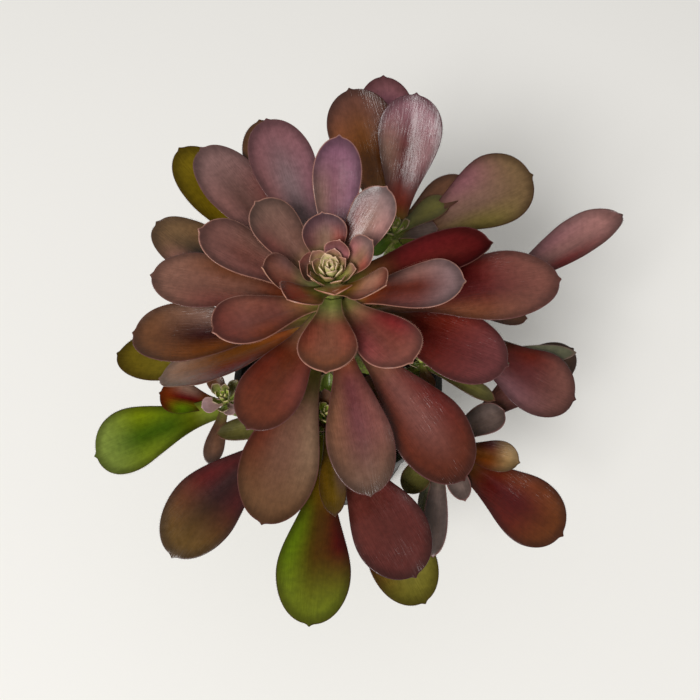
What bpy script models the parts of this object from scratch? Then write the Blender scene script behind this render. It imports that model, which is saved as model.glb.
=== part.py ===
"""Potted aeonium: a black nursery pot of peat that holds one branched succulent.

A tall main rosette of dark, spoon-shaped leaves stands over six short side shoots.
Metres, +Z up. The origin is the centre of the pot's flat underside.
"""
from collections import namedtuple
from math import cos, pi, radians, sin, sqrt

import bmesh
import bpy
from mathutils import Matrix, Vector

MM = 0.001
GAP = 0.3                    # clearance between touching pieces, in millimetres

# Driving dimensions, in millimetres.
POT_HEIGHT = 140.0
POT_RIM_RADIUS = 75.0        # over the rolled rim, a 150 mm pot
POT_BASE_RADIUS = 54.0
POT_WALL = 1.7
POT_FLOOR = 2.2
RIM_BAND_HEIGHT = 12.0
RIM_BAND_WIDTH = 3.0
DRAIN_RADIUS = 5.0
DRAIN_CIRCLE = 36.0
DRAIN_COUNT = 6
ROUND_STEPS = 56             # facets round the pot and the peat

SOIL_TOP = 127.0             # at the wall; it mounds a little towards the stem
SOIL_MOUND = 3.0
STEM_FOOT = 88.0             # how deep the woody stem goes into the peat
STEM_RADIUS = 8.5

ROSETTE_X = -2.0             # the main stem's tip stands a little off the pot's axis
ROSETTE_Y = -1.5
STEM_TOP = 268.0
FIRST_LEAF_HEIGHT = 273.0    # the youngest leaf's base, the others follow down the stem
LEAF_SPACING = 1.45

# One leaf. Azimuth is its direction seen from above, counter-clockwise from +X. Lift is how far
# its chord rises from level, bend is how much it arches over from base to tip, sweep is how much
# it turns sideways, and twist how much it rolls, all in degrees. Length and width are in
# millimetres. Cup is how far the blade's margins stand above its midrib, over its half width.
Leaf = namedtuple("Leaf", "azimuth lift length width bend cup twist sweep", defaults=(0, 0))

# The main rosette's leaves, from the youngest at the heart to the oldest, lowest one.
MAIN_LEAVES = [
    Leaf(277, 42, 27, 20, -18, 0.35),
    Leaf(205, 54, 20, 15, -15, 0.35),
    Leaf(72, 57, 25, 15, -15, 0.35),
    Leaf(168, 50, 24, 18, -10, 0.30),
    Leaf(26, 51, 37, 20, -10, 0.30),
    Leaf(233, 45, 47, 24, -8, 0.25),
    Leaf(327, 46, 47, 24, -8, 0.28),
    Leaf(99, 50, 44, 25, -6, 0.22),
    Leaf(187, 43, 47, 24, -6, 0.25),
    Leaf(269, 25, 71, 31, 8, 0.08),
    Leaf(56, 37, 67, 27, 4, 0.18),
    Leaf(138, 35, 67, 29, 4, 0.16),
    Leaf(307, 21, 74, 34, 8, 0.05),
    Leaf(211, 20, 75, 32, 8, 0.12),
    Leaf(353, 25, 79, 32, 6, 0.14),
    Leaf(87, 31, 95, 29, 6, 0.12),
    Leaf(163, 29, 85, 31, 6, 0.14),
    Leaf(13, 19, 97, 35, 8, 0.40, -20),
    Leaf(242, 4, 92, 36, 14, 0.05),
    Leaf(110.5, 20, 122, 39, 8, 0.12),
    Leaf(281, -7, 114, 37, 24, 0.04),
    Leaf(174, 10, 106, 38, 12, 0.10),
    Leaf(337, 4, 107, 44, 16, 0.05),
    Leaf(130, 15, 131, 37, 12, 0.08),
    Leaf(187, 1, 119, 40, 16, 0.22, 0, -34),
    Leaf(307, -9, 125, 44, 26, 0.03),
    Leaf(200, -6, 110, 38, 20, 0.16, 30, -24),
    Leaf(252, -14, 129, 45, 23, 0.03),
    Leaf(2.5, 14, 134, 46, 12, 0.10),
    Leaf(111, 17, 138, 40, 10, 0.05),
    Leaf(152, 10, 126, 35, 18, 0.12, 0, -25),
    Leaf(184, -10, 140, 38, 8, 0.05, 0, -32),
    Leaf(133, 15, 148, 40, 8, 0.05),
]

# A side shoot: where its stem leaves the main one, the two points it bends through, its tip,
# and its own larger leaves.
Shoot = namedtuple("Shoot", "name start elbow rise tip leaves")

SHOOTS = [
    Shoot("back", (2, 1, 160), (17, 27, 170), (33, 56, 196), (37, 62, 225), [
        Leaf(78.5, 48, 92, 41, 6, 0.20),
        Leaf(112, 42, 101, 45, 8, 0.12),
        Leaf(15, 27, 99, 48, 12, 0.22, 20),
        Leaf(93, 26, 119, 39, 8, 0.10),
    ]),
    Shoot("left", (2, 0, 147), (-30, -18, 152), (-61, -37, 168), (-69, -42, 191), [
        Leaf(203.5, 0, 84, 43, 12, 0.10),
        Leaf(174, 19, 43, 24, 8, 0.10),
    ]),
    Shoot("front", (2, 0, 152), (-1, -26, 158), (-4, -52, 180), (-5, -59, 206), [
        Leaf(275, 20, 66, 15, 8, 0.15),
        Leaf(299, -1, 102, 43, 16, 0.06),
        Leaf(222.5, -3, 119, 43, 18, 0.08, 0, 40),
        Leaf(265, -12, 114, 43, 18, 0.06),
        Leaf(301, -17, 118, 41, 16, 0.06),
    ]),
    Shoot("right", (2, 1, 170), (21, -10, 178), (46, -24, 194), (52, -27, 214), []),
    Shoot("low", (2, 0, 143), (26, -28, 151), (57, -61, 165), (64, -68, 189), [
        Leaf(340, 19, 49, 20, 8, 0.30),
        Leaf(320.5, 3, 87, 41, 14, 0.06),
        Leaf(36, 5, 113, 32, 14, 0.10),
    ]),
    Shoot("far", (2, 1, 165), (32, 5, 172), (71, 10, 192), (78, 10, 216), [
        Leaf(25, 22, 115, 30, 10, 0.45, -14),
        Leaf(317, 4, 85, 44, 14, 0.06, 0, 40),
    ]),
]
SHOOT_RADIUS = 4.6
SHOOT_LEAF_DROP = 3.6        # spacing of a side shoot's leaf bases, down its stem

# How a leaf is built up along its length.
LEAF_STATIONS = (0.0, 0.13, 0.26, 0.39, 0.51, 0.62, 0.72, 0.81, 0.885, 0.945, 0.985)
WIDEST_AT = 0.74             # share of the length at which the blade is widest
PETIOLE_WIDTH = 0.20         # the base's width over the blade's
PETIOLE_CUP = 0.22
THICKNESS_AT_BASE = 2.9      # of a full-grown leaf's midrib
THICKNESS_AT_TIP = 1.5
FULL_GROWN = 80.0            # a shorter leaf is thinner in proportion
MUCRO = 1.6                  # the small point at a leaf's tip
BASE_CLEARANCE = 0.9         # from the stem's surface to the leaf's base


def clear_scene():
    for item in list(bpy.data.objects):
        bpy.data.objects.remove(item, do_unlink=True)


def principled(name, colour, roughness, metallic=0.0):
    material = bpy.data.materials.new(name)
    material.use_nodes = True
    shader = material.node_tree.nodes["Principled BSDF"]
    shader.inputs["Base Color"].default_value = (*colour, 1.0)
    shader.inputs["Roughness"].default_value = roughness
    shader.inputs["Metallic"].default_value = metallic
    return material


def add_object(name, mesh_builder, material, smooth_angle=40.0):
    """Turn a bmesh built in millimetres into a named object in metres."""
    mesh_builder.transform(Matrix.Scale(MM, 4))
    mesh = bpy.data.meshes.new(name)
    mesh_builder.to_mesh(mesh)
    mesh_builder.free()
    mesh.shade_smooth()
    mesh.set_sharp_from_angle(angle=radians(smooth_angle))
    item = bpy.data.objects.new(name, mesh)
    item.data.materials.append(material)
    bpy.context.scene.collection.objects.link(item)
    return item


# ---------------------------------------------------------------- turned pieces

def turned(profile, steps=ROUND_STEPS):
    """Spin a closed profile of (radius, height) points once round the Z axis."""
    builder = bmesh.new()
    points = [builder.verts.new((radius, 0.0, height)) for radius, height in profile]
    for first, second in zip(points, points[1:] + points[:1]):
        if max(first.co.x, second.co.x) > 0.0:
            builder.edges.new((first, second))
    bmesh.ops.spin(
        builder, geom=builder.verts[:] + builder.edges[:], cent=(0, 0, 0), axis=(0, 0, 1),
        angle=2 * pi, steps=steps, use_merge=True, use_duplicate=False,
    )
    bmesh.ops.remove_doubles(builder, verts=builder.verts[:], dist=0.01)
    bmesh.ops.recalc_face_normals(builder, faces=builder.faces[:])
    return builder


def wall_radius(height):
    """The outside of the pot's tapered wall at a height."""
    top = POT_RIM_RADIUS - RIM_BAND_WIDTH
    return POT_BASE_RADIUS + (top - POT_BASE_RADIUS) * height / POT_HEIGHT


def pot_profile():
    band = POT_HEIGHT - RIM_BAND_HEIGHT
    rim = POT_RIM_RADIUS
    inner_top = wall_radius(POT_HEIGHT) - POT_WALL
    inner_foot = wall_radius(POT_FLOOR) - POT_WALL
    return [
        (0.0, 0.0),
        (POT_BASE_RADIUS - 1.8, 0.0),
        (POT_BASE_RADIUS - 0.5, 0.4),
        (POT_BASE_RADIUS, 1.8),
        (wall_radius(band - 1.0), band - 1.0),
        (rim - 0.9, band),
        (rim, band + 1.0),
        (rim, POT_HEIGHT - 1.3),
        (rim - 0.5, POT_HEIGHT - 0.4),
        (rim - 1.5, POT_HEIGHT),
        (inner_top + 0.9, POT_HEIGHT),
        (inner_top, POT_HEIGHT - 1.0),
        (inner_foot, POT_FLOOR + 1.6),
        (inner_foot - 1.6, POT_FLOOR),
        (0.0, POT_FLOOR),
    ]


def make_pot(material):
    """A thin-walled, tapered pot with a deep rolled rim and drain holes in its floor."""
    pot = add_object("nursery_pot", turned(pot_profile()), material)
    for index in range(DRAIN_COUNT):
        angle = 2 * pi * (index + 0.5) / DRAIN_COUNT
        cutter_mesh = bmesh.new()
        place = Matrix.Translation((DRAIN_CIRCLE * cos(angle), DRAIN_CIRCLE * sin(angle), 0.0))
        bmesh.ops.create_cone(
            cutter_mesh, cap_ends=True, segments=16, radius1=DRAIN_RADIUS, radius2=DRAIN_RADIUS,
            depth=4 * POT_FLOOR, matrix=place,
        )
        cutter = add_object(f"drain_cutter_{index}", cutter_mesh, material)
        cutter.hide_render = True
        cutter.display_type = "WIRE"
        cut = pot.modifiers.new(f"drain_{index}", "BOOLEAN")
        cut.operation = "DIFFERENCE"
        cut.object = cutter
    return pot


def soil_profile():
    """Peat that fills the pot, with a socket where the stem stands in it."""
    foot = POT_FLOOR + GAP
    socket = STEM_RADIUS + GAP
    inner = POT_WALL + GAP
    return [
        (0.0, foot),
        (wall_radius(foot) - inner - 2.0, foot),
        (wall_radius(foot) - inner, foot + 2.0),
        (wall_radius(SOIL_TOP) - inner, SOIL_TOP - 1.0),
        (wall_radius(SOIL_TOP) - inner - 2.0, SOIL_TOP),
        (48.0, SOIL_TOP + 0.35 * SOIL_MOUND),
        (26.0, SOIL_TOP + 0.8 * SOIL_MOUND),
        (socket + 3.0, SOIL_TOP + SOIL_MOUND),
        (socket, SOIL_TOP + 0.8 * SOIL_MOUND),
        (socket, STEM_FOOT - GAP),
        (0.0, STEM_FOOT - GAP),
    ]


# ---------------------------------------------------------------- stems and hearts

def tube(points, radii, sides=12):
    """A closed tube through the points, its radius given at each of them."""
    builder = bmesh.new()
    rings = []
    for index, (point, radius) in enumerate(zip(points, radii)):
        ahead = points[min(index + 1, len(points) - 1)]
        behind = points[max(index - 1, 0)]
        turn = (ahead - behind).normalized().to_track_quat("Z", "X")
        ring = []
        for side in range(sides):
            angle = 2 * pi * side / sides
            offset = turn @ Vector((radius * cos(angle), radius * sin(angle), 0.0))
            ring.append(builder.verts.new(point + offset))
        rings.append(ring)
    for lower, upper in zip(rings, rings[1:]):
        join_rings(builder, lower, upper)
    builder.faces.new(rings[0][::-1])
    builder.faces.new(rings[-1])
    bmesh.ops.recalc_face_normals(builder, faces=builder.faces[:])
    return builder


def join_rings(builder, lower, upper):
    """Fill the band between two rings of equally many vertices."""
    count = len(lower)
    for index in range(count):
        after = (index + 1) % count
        builder.faces.new((lower[index], lower[after], upper[after], upper[index]))


def smooth_path(points, pieces=4):
    """Points along a Catmull-Rom curve through the given ones."""
    ends = [2 * points[0] - points[1], *points, 2 * points[-1] - points[-2]]
    path = []
    for a, b, c, d in zip(ends, ends[1:], ends[2:], ends[3:]):
        for step in range(pieces):
            t = step / pieces
            path.append(0.5 * (
                2 * b + (c - a) * t + (2 * a - 5 * b + 4 * c - d) * t ** 2
                + (3 * b - a - 3 * c + d) * t ** 3
            ))
    return path + [points[-1]]


def main_stem_radius(height):
    """The stem tapers inside the rosette, where its youngest leaves sit closer to the axis."""
    below_top = (FIRST_LEAF_HEIGHT - height) / LEAF_SPACING
    return min(7.0 + max(0.0, 200.0 - height) / 45.0, STEM_RADIUS, max(2.2, 2.6 + 0.3 * below_top))


def make_stem(material):
    """The woody main stem and the six branches that grew out of it: one piece."""
    foot = Vector((0, 0, STEM_FOOT))
    collar = Vector((0, 0, SOIL_TOP + SOIL_MOUND + 4.0))
    tip = Vector((ROSETTE_X, ROSETTE_Y, STEM_TOP))
    upper = smooth_path([collar, Vector((3, 1, 160)), Vector((2, 0, 195)),
                         Vector((ROSETTE_X, ROSETTE_Y, 232)), tip])
    path = [foot] + upper
    stem = add_object("stem", tube(path, [main_stem_radius(point.z) for point in path]), material)
    for shoot in SHOOTS:
        route = smooth_path([Vector(shoot.start), Vector(shoot.elbow), Vector(shoot.rise),
                             Vector(shoot.tip)])
        branch = add_object(f"branch_{shoot.name}", tube(route, shoot_radii(len(route))), material)
        branch.hide_render = True
        branch.display_type = "WIRE"
        join = stem.modifiers.new(f"join_{shoot.name}", "BOOLEAN")
        join.operation = "UNION"
        join.object = branch
    return stem


def shoot_radii(count):
    """A side shoot thins a little towards its tip."""
    return [SHOOT_RADIUS * (1.12 - 0.22 * index / (count - 1)) for index in range(count)]


def heart_profile(size):
    """The closed bud of the youngest leaves, on a short neck; size is its radius."""
    return [
        (0.0, 0.0),
        (0.36 * size, 0.0),
        (0.40 * size, 0.9 * size),
        (0.80 * size, 1.45 * size),
        (1.00 * size, 2.0 * size),
        (0.90 * size, 2.55 * size),
        (0.45 * size, 2.95 * size),
        (0.0, 3.05 * size),
    ]


def make_heart(name, place, size, material):
    builder = turned(heart_profile(size), steps=16)
    bmesh.ops.translate(builder, verts=builder.verts[:], vec=place)
    return add_object(name, builder, material)


# ---------------------------------------------------------------- leaves

def width_share(s):
    """The blade's outline: a slim petiole that widens into a spoon with a round end."""
    if s < WIDEST_AT:
        swell = 0.5 - 0.5 * cos(pi * (s / WIDEST_AT) ** 1.8)
        return PETIOLE_WIDTH + (1.0 - PETIOLE_WIDTH) * swell
    return sqrt(max(0.0, 1.0 - ((s - WIDEST_AT) / (1.0 - WIDEST_AT)) ** 2))


def leaf_frame(leaf, s):
    """Forward, left and up directions of the leaf at a share of its length."""
    lift = radians(leaf.lift + leaf.bend * (0.5 - s))
    azimuth = radians(leaf.azimuth + leaf.sweep * (s - 0.5))
    forward = Vector((cos(lift) * cos(azimuth), cos(lift) * sin(azimuth), sin(lift)))
    left = Vector((-sin(azimuth), cos(azimuth), 0.0))
    roll = Matrix.Rotation(radians(leaf.twist * s), 3, forward)
    left = roll @ left
    return forward, left, forward.cross(left)


def leaf_point(leaf, base, s, steps=24):
    """The midrib's place at a share of the leaf's length, found by walking along it."""
    point = base.copy()
    for step in range(steps):
        forward, _, _ = leaf_frame(leaf, s * (step + 0.5) / steps)
        point += forward * (leaf.length * s / steps)
    return point


def leaf_solid(leaf, base):
    """Four-sided rings from the petiole to the tip: left margin, top, right margin, underside."""
    builder = bmesh.new()
    grown = min(1.0, 0.35 + 0.65 * leaf.length / FULL_GROWN)
    rings = []
    for s in LEAF_STATIONS:
        centre = leaf_point(leaf, base, s)
        _, left, up = leaf_frame(leaf, s)
        half = 0.5 * leaf.width * width_share(s)
        cup = half * (PETIOLE_CUP + (leaf.cup - PETIOLE_CUP) * s)
        thick = grown * (THICKNESS_AT_BASE + (THICKNESS_AT_TIP - THICKNESS_AT_BASE) * s)
        thick *= min(1.0, 0.25 + (1.0 - s) / 0.08)
        corners = (left * half + up * cup, up * 0.3 * thick,
                   up * cup - left * half, up * -0.7 * thick)
        rings.append([builder.verts.new(centre + corner) for corner in corners])
    for lower, upper in zip(rings, rings[1:]):
        join_rings(builder, lower, upper)
    tip = leaf_point(leaf, base, 1.0) + leaf_frame(leaf, 1.0)[0] * MUCRO
    point = builder.verts.new(tip)
    for index in range(4):
        builder.faces.new((rings[-1][index], rings[-1][(index + 1) % 4], point))
    builder.faces.new(rings[0][::-1])
    bmesh.ops.triangulate(builder, faces=builder.faces[:], quad_method="SHORT_EDGE")
    bmesh.ops.recalc_face_normals(builder, faces=builder.faces[:])
    return builder


def grow_leaf(name, leaf, axis, stem_radius, material):
    """A leaf from a point on its stem's axis, which stops a small gap outside the stem."""
    azimuth = radians(leaf.azimuth - 0.5 * leaf.sweep)
    reach = stem_radius + BASE_CLEARANCE
    base = axis + Vector((reach * cos(azimuth), reach * sin(azimuth), 0.0))
    blade = leaf._replace(length=leaf.length - reach)
    return add_object(name, leaf_solid(blade, base), material)


def make_main_rosette(material):
    for rank, leaf in enumerate(MAIN_LEAVES, start=1):
        height = FIRST_LEAF_HEIGHT - LEAF_SPACING * rank
        axis = Vector((ROSETTE_X, ROSETTE_Y, height))
        grow_leaf(f"leaf_{rank:02d}", leaf, axis, main_stem_radius(height), material)


def make_side_leaves(shoot, material):
    for rank, leaf in enumerate(shoot.leaves, start=1):
        axis = Vector(shoot.tip) - Vector((0, 0, SHOOT_LEAF_DROP * rank - 1.0))
        grow_leaf(f"{shoot.name}_leaf_{rank}", leaf, axis, SHOOT_RADIUS, material)


def main():
    clear_scene()
    plastic = principled("black_polypropylene", (0.012, 0.012, 0.013), 0.45)
    peat = principled("moist_peat", (0.030, 0.018, 0.011), 0.95)
    bark = principled("green_brown_bark", (0.16, 0.12, 0.06), 0.7)
    dark_leaf = principled("dark_succulent_leaf", (0.085, 0.030, 0.028), 0.38)
    pale_heart = principled("pale_young_leaf", (0.30, 0.36, 0.10), 0.45)
    make_pot(plastic)
    add_object("potting_mix", turned(soil_profile()), peat)
    make_stem(bark)
    heart_foot = Vector((ROSETTE_X, ROSETTE_Y, STEM_TOP + GAP))
    make_heart("heart_main", heart_foot, 5.6, pale_heart)
    make_main_rosette(dark_leaf)
    for shoot in SHOOTS:
        foot = Vector(shoot.tip) + Vector((0, 0, 1.5))
        make_heart(f"heart_{shoot.name}", foot, 4.6, pale_heart)
        make_side_leaves(shoot, dark_leaf)


main()
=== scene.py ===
# %% [markdown]
# # A potted aeonium
# This lesson builds the looks of a branched aeonium in a black nursery pot: a tall rosette of
# dark, spoon-shaped leaves over six short side shoots.
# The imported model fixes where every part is. The lesson reads each leaf's backbone from it and
# grows a finer leaf round that backbone, so nothing is placed twice.

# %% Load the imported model
import random
from collections import namedtuple
from math import cos, pi, radians, sin

import bmesh
import bpy
import numpy as np
from mathutils import Matrix, Vector, noise


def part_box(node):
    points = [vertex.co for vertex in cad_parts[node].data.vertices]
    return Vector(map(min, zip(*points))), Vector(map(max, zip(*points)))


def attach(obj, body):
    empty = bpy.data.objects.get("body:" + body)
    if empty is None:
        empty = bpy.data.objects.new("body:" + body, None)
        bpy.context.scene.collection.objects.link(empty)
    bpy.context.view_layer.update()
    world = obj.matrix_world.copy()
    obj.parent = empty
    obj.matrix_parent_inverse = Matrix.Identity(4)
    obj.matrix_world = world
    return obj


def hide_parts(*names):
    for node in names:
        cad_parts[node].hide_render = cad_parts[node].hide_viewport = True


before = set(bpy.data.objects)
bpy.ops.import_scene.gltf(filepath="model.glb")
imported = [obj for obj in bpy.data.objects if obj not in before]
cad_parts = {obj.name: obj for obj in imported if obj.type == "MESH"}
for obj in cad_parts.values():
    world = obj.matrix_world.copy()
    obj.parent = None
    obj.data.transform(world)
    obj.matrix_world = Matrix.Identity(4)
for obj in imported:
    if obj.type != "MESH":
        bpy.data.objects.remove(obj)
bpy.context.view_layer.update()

# %% [markdown]
# ## Helpers
# Sizes are thought of in millimetres, and Blender wants metres. Colours are written as the
# hex values a painter would pick, and a shader wants linear light, so one function turns them.
# A second one adds a shader node with its settings and its links in a single line.

# %% Units, colours and shader nodes
MM = 0.001


def linear(hex_code):
    """The linear red, green and blue of an sRGB hex colour."""
    shares = [int(hex_code[at:at + 2], 16) / 255 for at in (1, 3, 5)]
    return [share / 12.92 if share <= 0.04045 else ((share + 0.055) / 1.055) ** 2.4
            for share in shares]


def rgba(hex_code):
    return (*linear(hex_code), 1.0)


def add_node(tree, kind, inputs=None, **settings):
    """Add a shader node. An input is a value, or another node's output to link."""
    made = tree.nodes.new(kind)
    for name, value in settings.items():
        setattr(made, name, value)
    for socket, value in (inputs or {}).items():
        if isinstance(value, bpy.types.NodeSocket):
            tree.links.new(value, made.inputs[socket])
        else:
            made.inputs[socket].default_value = value
    return made


def new_material(name, roughness, ior=1.45):
    material = bpy.data.materials.new(name)
    material.use_nodes = True
    shader = material.node_tree.nodes["Principled BSDF"]
    shader.inputs["Roughness"].default_value = roughness
    shader.inputs["IOR"].default_value = ior
    return material, material.node_tree, shader


def smooth(low, high, value):
    """An eased step from 0 at low to 1 at high, for arrays as well."""
    t = np.clip((value - low) / (high - low), 0.0, 1.0)
    return t * t * (3.0 - 2.0 * t)


# %% [markdown]
# ## Finishing a piece
# Every piece ends the same way: it gets its material and it rides on the plant's one body.
# Pieces are modelled in millimetres and scaled once.

# %% Turn a bmesh into a finished piece
def finish_piece(name, builder, material, replaced=()):
    mesh = bpy.data.meshes.new(name)
    builder.transform(Matrix.Scale(MM, 4))
    builder.to_mesh(mesh)
    builder.free()
    mesh.shade_smooth()
    mesh.materials.append(material)
    item = bpy.data.objects.new(name, mesh)
    bpy.context.scene.collection.objects.link(item)
    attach(item, "root")
    if replaced:
        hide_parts(*replaced)
    return item


# %% [markdown]
# ## Camera, light and floor
# The plant is seen from well above, a little in front of it, by a camera with a normal phone's
# field of view. A pale room lights it from all round, and one large window-like panel, behind
# the viewer and to their left, gives the leaves that face it their shine.

# %% Camera
camera_data = bpy.data.cameras.new("camera")
camera_data.sensor_width = 36.0
camera_data.lens = 36.1
camera_data.clip_start = 0.01
camera = bpy.data.objects.new("camera", camera_data)
camera.location = (0.0086, -0.2195, 0.5963)
camera.rotation_euler = (radians(28.0), 0.0, 0.0)
bpy.context.scene.collection.objects.link(camera)
bpy.context.scene.camera = camera

# %% Light
bpy.context.scene.view_settings.view_transform = "Standard"


def soft_panel(name, place, target, size, power, hex_code):
    data = bpy.data.lights.new(name, "AREA")
    data.shape = "RECTANGLE"
    data.size, data.size_y = size
    data.energy = power
    data.color = linear(hex_code)
    lamp = bpy.data.objects.new(name, data)
    lamp.location = place
    lamp.rotation_euler = (Vector(target) - Vector(place)).to_track_quat("-Z", "Y").to_euler()
    bpy.context.scene.collection.objects.link(lamp)
    return lamp


soft_panel("window", (-2.0, -3.6, 4.2), (0, 0, 0.2), (2.5, 2.5), 325.0, "#fffefc")
world = bpy.data.worlds.new("pale_room")
world.use_nodes = True
world.node_tree.nodes["Background"].inputs["Color"].default_value = rgba("#fbf9f6")
world.node_tree.nodes["Background"].inputs["Strength"].default_value = 0.33
bpy.context.scene.world = world

# %% Floor
floor_mesh = bpy.data.meshes.new("floor")
floor_builder = bmesh.new()
bmesh.ops.create_grid(floor_builder, x_segments=1, y_segments=1, size=6.0)
floor_builder.to_mesh(floor_mesh)
floor_builder.free()
floor_paint, _, floor_shader = new_material("matt_wall_paint", 0.9)
floor_shader.inputs["Base Color"].default_value = rgba("#f5f4f1")
floor_shader.inputs["Specular IOR Level"].default_value = 0.1
floor_mesh.materials.append(floor_paint)
floor = bpy.data.objects.new("floor", floor_mesh)
bpy.context.scene.collection.objects.link(floor)

# %% [markdown]
# ## The backbone of a leaf
# An aeonium leaf is a spoon: a slim, thick petiole that widens into a blade with a round end
# and a small point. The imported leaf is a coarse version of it, eleven four-cornered rings from
# the petiole to the tip. Walking from ring to ring gives the midrib's curve, the direction
# across the leaf and how far its margins stand up, and a low polynomial makes each one smooth.

# %% The outline that packed and fine leaves share
WIDEST_AT = 0.74             # share of the length at which the blade is widest
PETIOLE_WIDTH = 0.20         # the petiole's width over the blade's
MUCRO = 1.6                  # the small point at a leaf's tip, in millimetres

Shape = namedtuple("Shape", "centre left length width cup thick neck", defaults=(0.0,))


def width_share(s):
    swell = PETIOLE_WIDTH + (1.0 - PETIOLE_WIDTH) * (
        0.5 - 0.5 * np.cos(pi * (np.minimum(s, WIDEST_AT) / WIDEST_AT) ** 1.8))
    end = np.clip((s - WIDEST_AT) / (1.0 - WIDEST_AT), 0.0, 1.0)
    return np.where(s < WIDEST_AT, swell, np.sqrt(1.0 - end ** 2))


def curve(fit, s):
    """The points of a polynomial curve in space, one row for each s."""
    return np.stack([np.polyval(fit[:, axis], s) for axis in range(3)], axis=-1)


def unit(rows):
    return rows / np.linalg.norm(rows, axis=-1, keepdims=True)


def leaf_axes(shape, s):
    """The midrib's points and the forward, left and up directions there."""
    slope = np.stack([np.polyder(shape.centre[:, axis]) for axis in range(3)], axis=-1)
    forward = unit(curve(slope, s))
    left = curve(shape.left, s)
    left = unit(left - forward * np.sum(left * forward, axis=-1, keepdims=True))
    return curve(shape.centre, s), forward, left, np.cross(forward, left)


# %% Read a packed leaf's backbone
def rings_from(base):
    """The base ring of vertices, then the rings one, two, three edges away from it."""
    seen, rings = set(base), [list(base)]
    while rings[-1]:
        nearby = [edge.other_vert(corner) for corner in rings[-1] for edge in corner.link_edges]
        rings.append([corner for corner in dict.fromkeys(nearby) if corner not in seen])
        seen.update(rings[-1])
    return [[corner.co / MM for corner in ring] for ring in rings if len(ring) == 4]


def read_leaf(node, heart):
    """Measure a packed leaf, in millimetres."""
    builder = bmesh.new()
    builder.from_mesh(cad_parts[node].data)
    bmesh.ops.remove_doubles(builder, verts=builder.verts[:], dist=1e-5)
    low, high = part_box(heart)
    middle = (low + high) / 2
    tip = max(builder.verts, key=lambda corner: (corner.co - middle).length)
    base = sorted(builder.verts, key=lambda corner: (corner.co - tip.co).length)[-4:]
    point = tip.co / MM
    rows = []
    for ring in rings_from(base):
        one, two = max(((a, b) for a in ring for b in ring), key=lambda ab: (ab[0] - ab[1]).length)
        top, under = [corner for corner in ring if corner not in (one, two)]
        forward = (point - (one + two) / 2).normalized()
        side = Vector((0, 0, 1)).cross(forward)
        if (one - two).dot(side) < 0:
            one, two = two, one
        across = (one - two).normalized()
        if (top - under).dot(forward.cross(across)) < 0:
            top, under = under, top
        rows.append((0.7 * top + 0.3 * under, across, (one + two) / 2, (one - two).length,
                     (top - under).length))
    builder.free()
    centre, left, margin = (np.array([tuple(row[at]) for row in rows]) for at in range(3))
    wide, thick = (np.array([row[at] for row in rows]) for at in (3, 4))
    steps = np.linalg.norm(np.diff(np.vstack([centre, tuple(point)]), axis=0), axis=1)
    length = steps.sum() - MUCRO
    s = np.concatenate([[0.0], np.cumsum(steps)[:-1]]) / length
    shape = Shape(np.polyfit(s, centre, 4), np.polyfit(s, left, 3), length,
                  np.median(wide / width_share(s)), None, np.polyfit(s[:8], thick[:8], 1))
    _, _, _, up = leaf_axes(shape, s)
    cup = 2 * np.sum((margin - centre) * up, axis=1) / wide
    return shape._replace(cup=np.polyfit(s, cup, 1))


HEARTS = [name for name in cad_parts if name.startswith("heart_")]
LEAVES = sorted(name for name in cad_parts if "leaf_" in name)


def heart_of(leaf):
    return "heart_main" if leaf.startswith("leaf_") else f"heart_{leaf.split('_')[0]}"


SHAPES = {leaf: read_leaf(leaf, heart_of(leaf)) for leaf in LEAVES}
SHAPES["leaf_18"] = SHAPES["leaf_18"]._replace(neck=0.85)      # its base is broad
print(len(SHAPES), "leaves, the longest", round(max(s.length for s in SHAPES.values())), "mm")

# %% [markdown]
# ## A young leaf without a packed one
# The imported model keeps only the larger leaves. The small ones of the side shoots and the
# hearts are described the way a botanist would: which way they point, how far they rise, how
# long and wide they are, and how they bend. Walking along those directions gives the same kind
# of backbone.

# %% A backbone from a few angles
Young = namedtuple("Young", "azimuth lift length width bend cup twist sweep",
                   defaults=(8, 0.2, 0, 0))


def young_shape(young, base):
    s = np.linspace(0.0, 1.0, 25)
    lift = np.radians(young.lift + young.bend * (0.5 - s))
    turn = np.radians(young.azimuth + young.sweep * (s - 0.5))
    forward = np.stack([np.cos(lift) * np.cos(turn), np.cos(lift) * np.sin(turn), np.sin(lift)], -1)
    steps = (forward[1:] + forward[:-1]) / 2 * young.length / 24
    centre = np.vstack([[base], np.asarray(base) + np.cumsum(steps, axis=0)])
    flat = np.stack([-np.sin(turn), np.cos(turn), 0 * turn], -1)
    roll = np.radians(young.twist * s)[:, None]
    left = flat * np.cos(roll) + np.cross(forward, flat) * np.sin(roll)
    grown = min(1.0, 0.35 + 0.65 * young.length / 80.0)
    thick = np.array([-1.4, 2.9]) * grown
    return Shape(np.polyfit(s, centre, 4), np.polyfit(s, left, 3), young.length, young.width,
                 np.array([young.cup - 0.22, 0.22]), thick)


# %% [markdown]
# ## The blade
# A fine leaf starts as a flat grid, which is then wrapped once round the leaf's cross-section:
# over the top from one margin to the other and back along the underside. The section is thick
# at the midrib and thins to a rounded margin. A shallow channel runs down the middle of the
# top and a low keel under it, and the blade undulates a little, because no real leaf is smooth.
# Each vertex also keeps its colour, and the grid's UV map is in millimetres along and across
# the leaf, so that wrinkles and veins can follow it.

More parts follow.
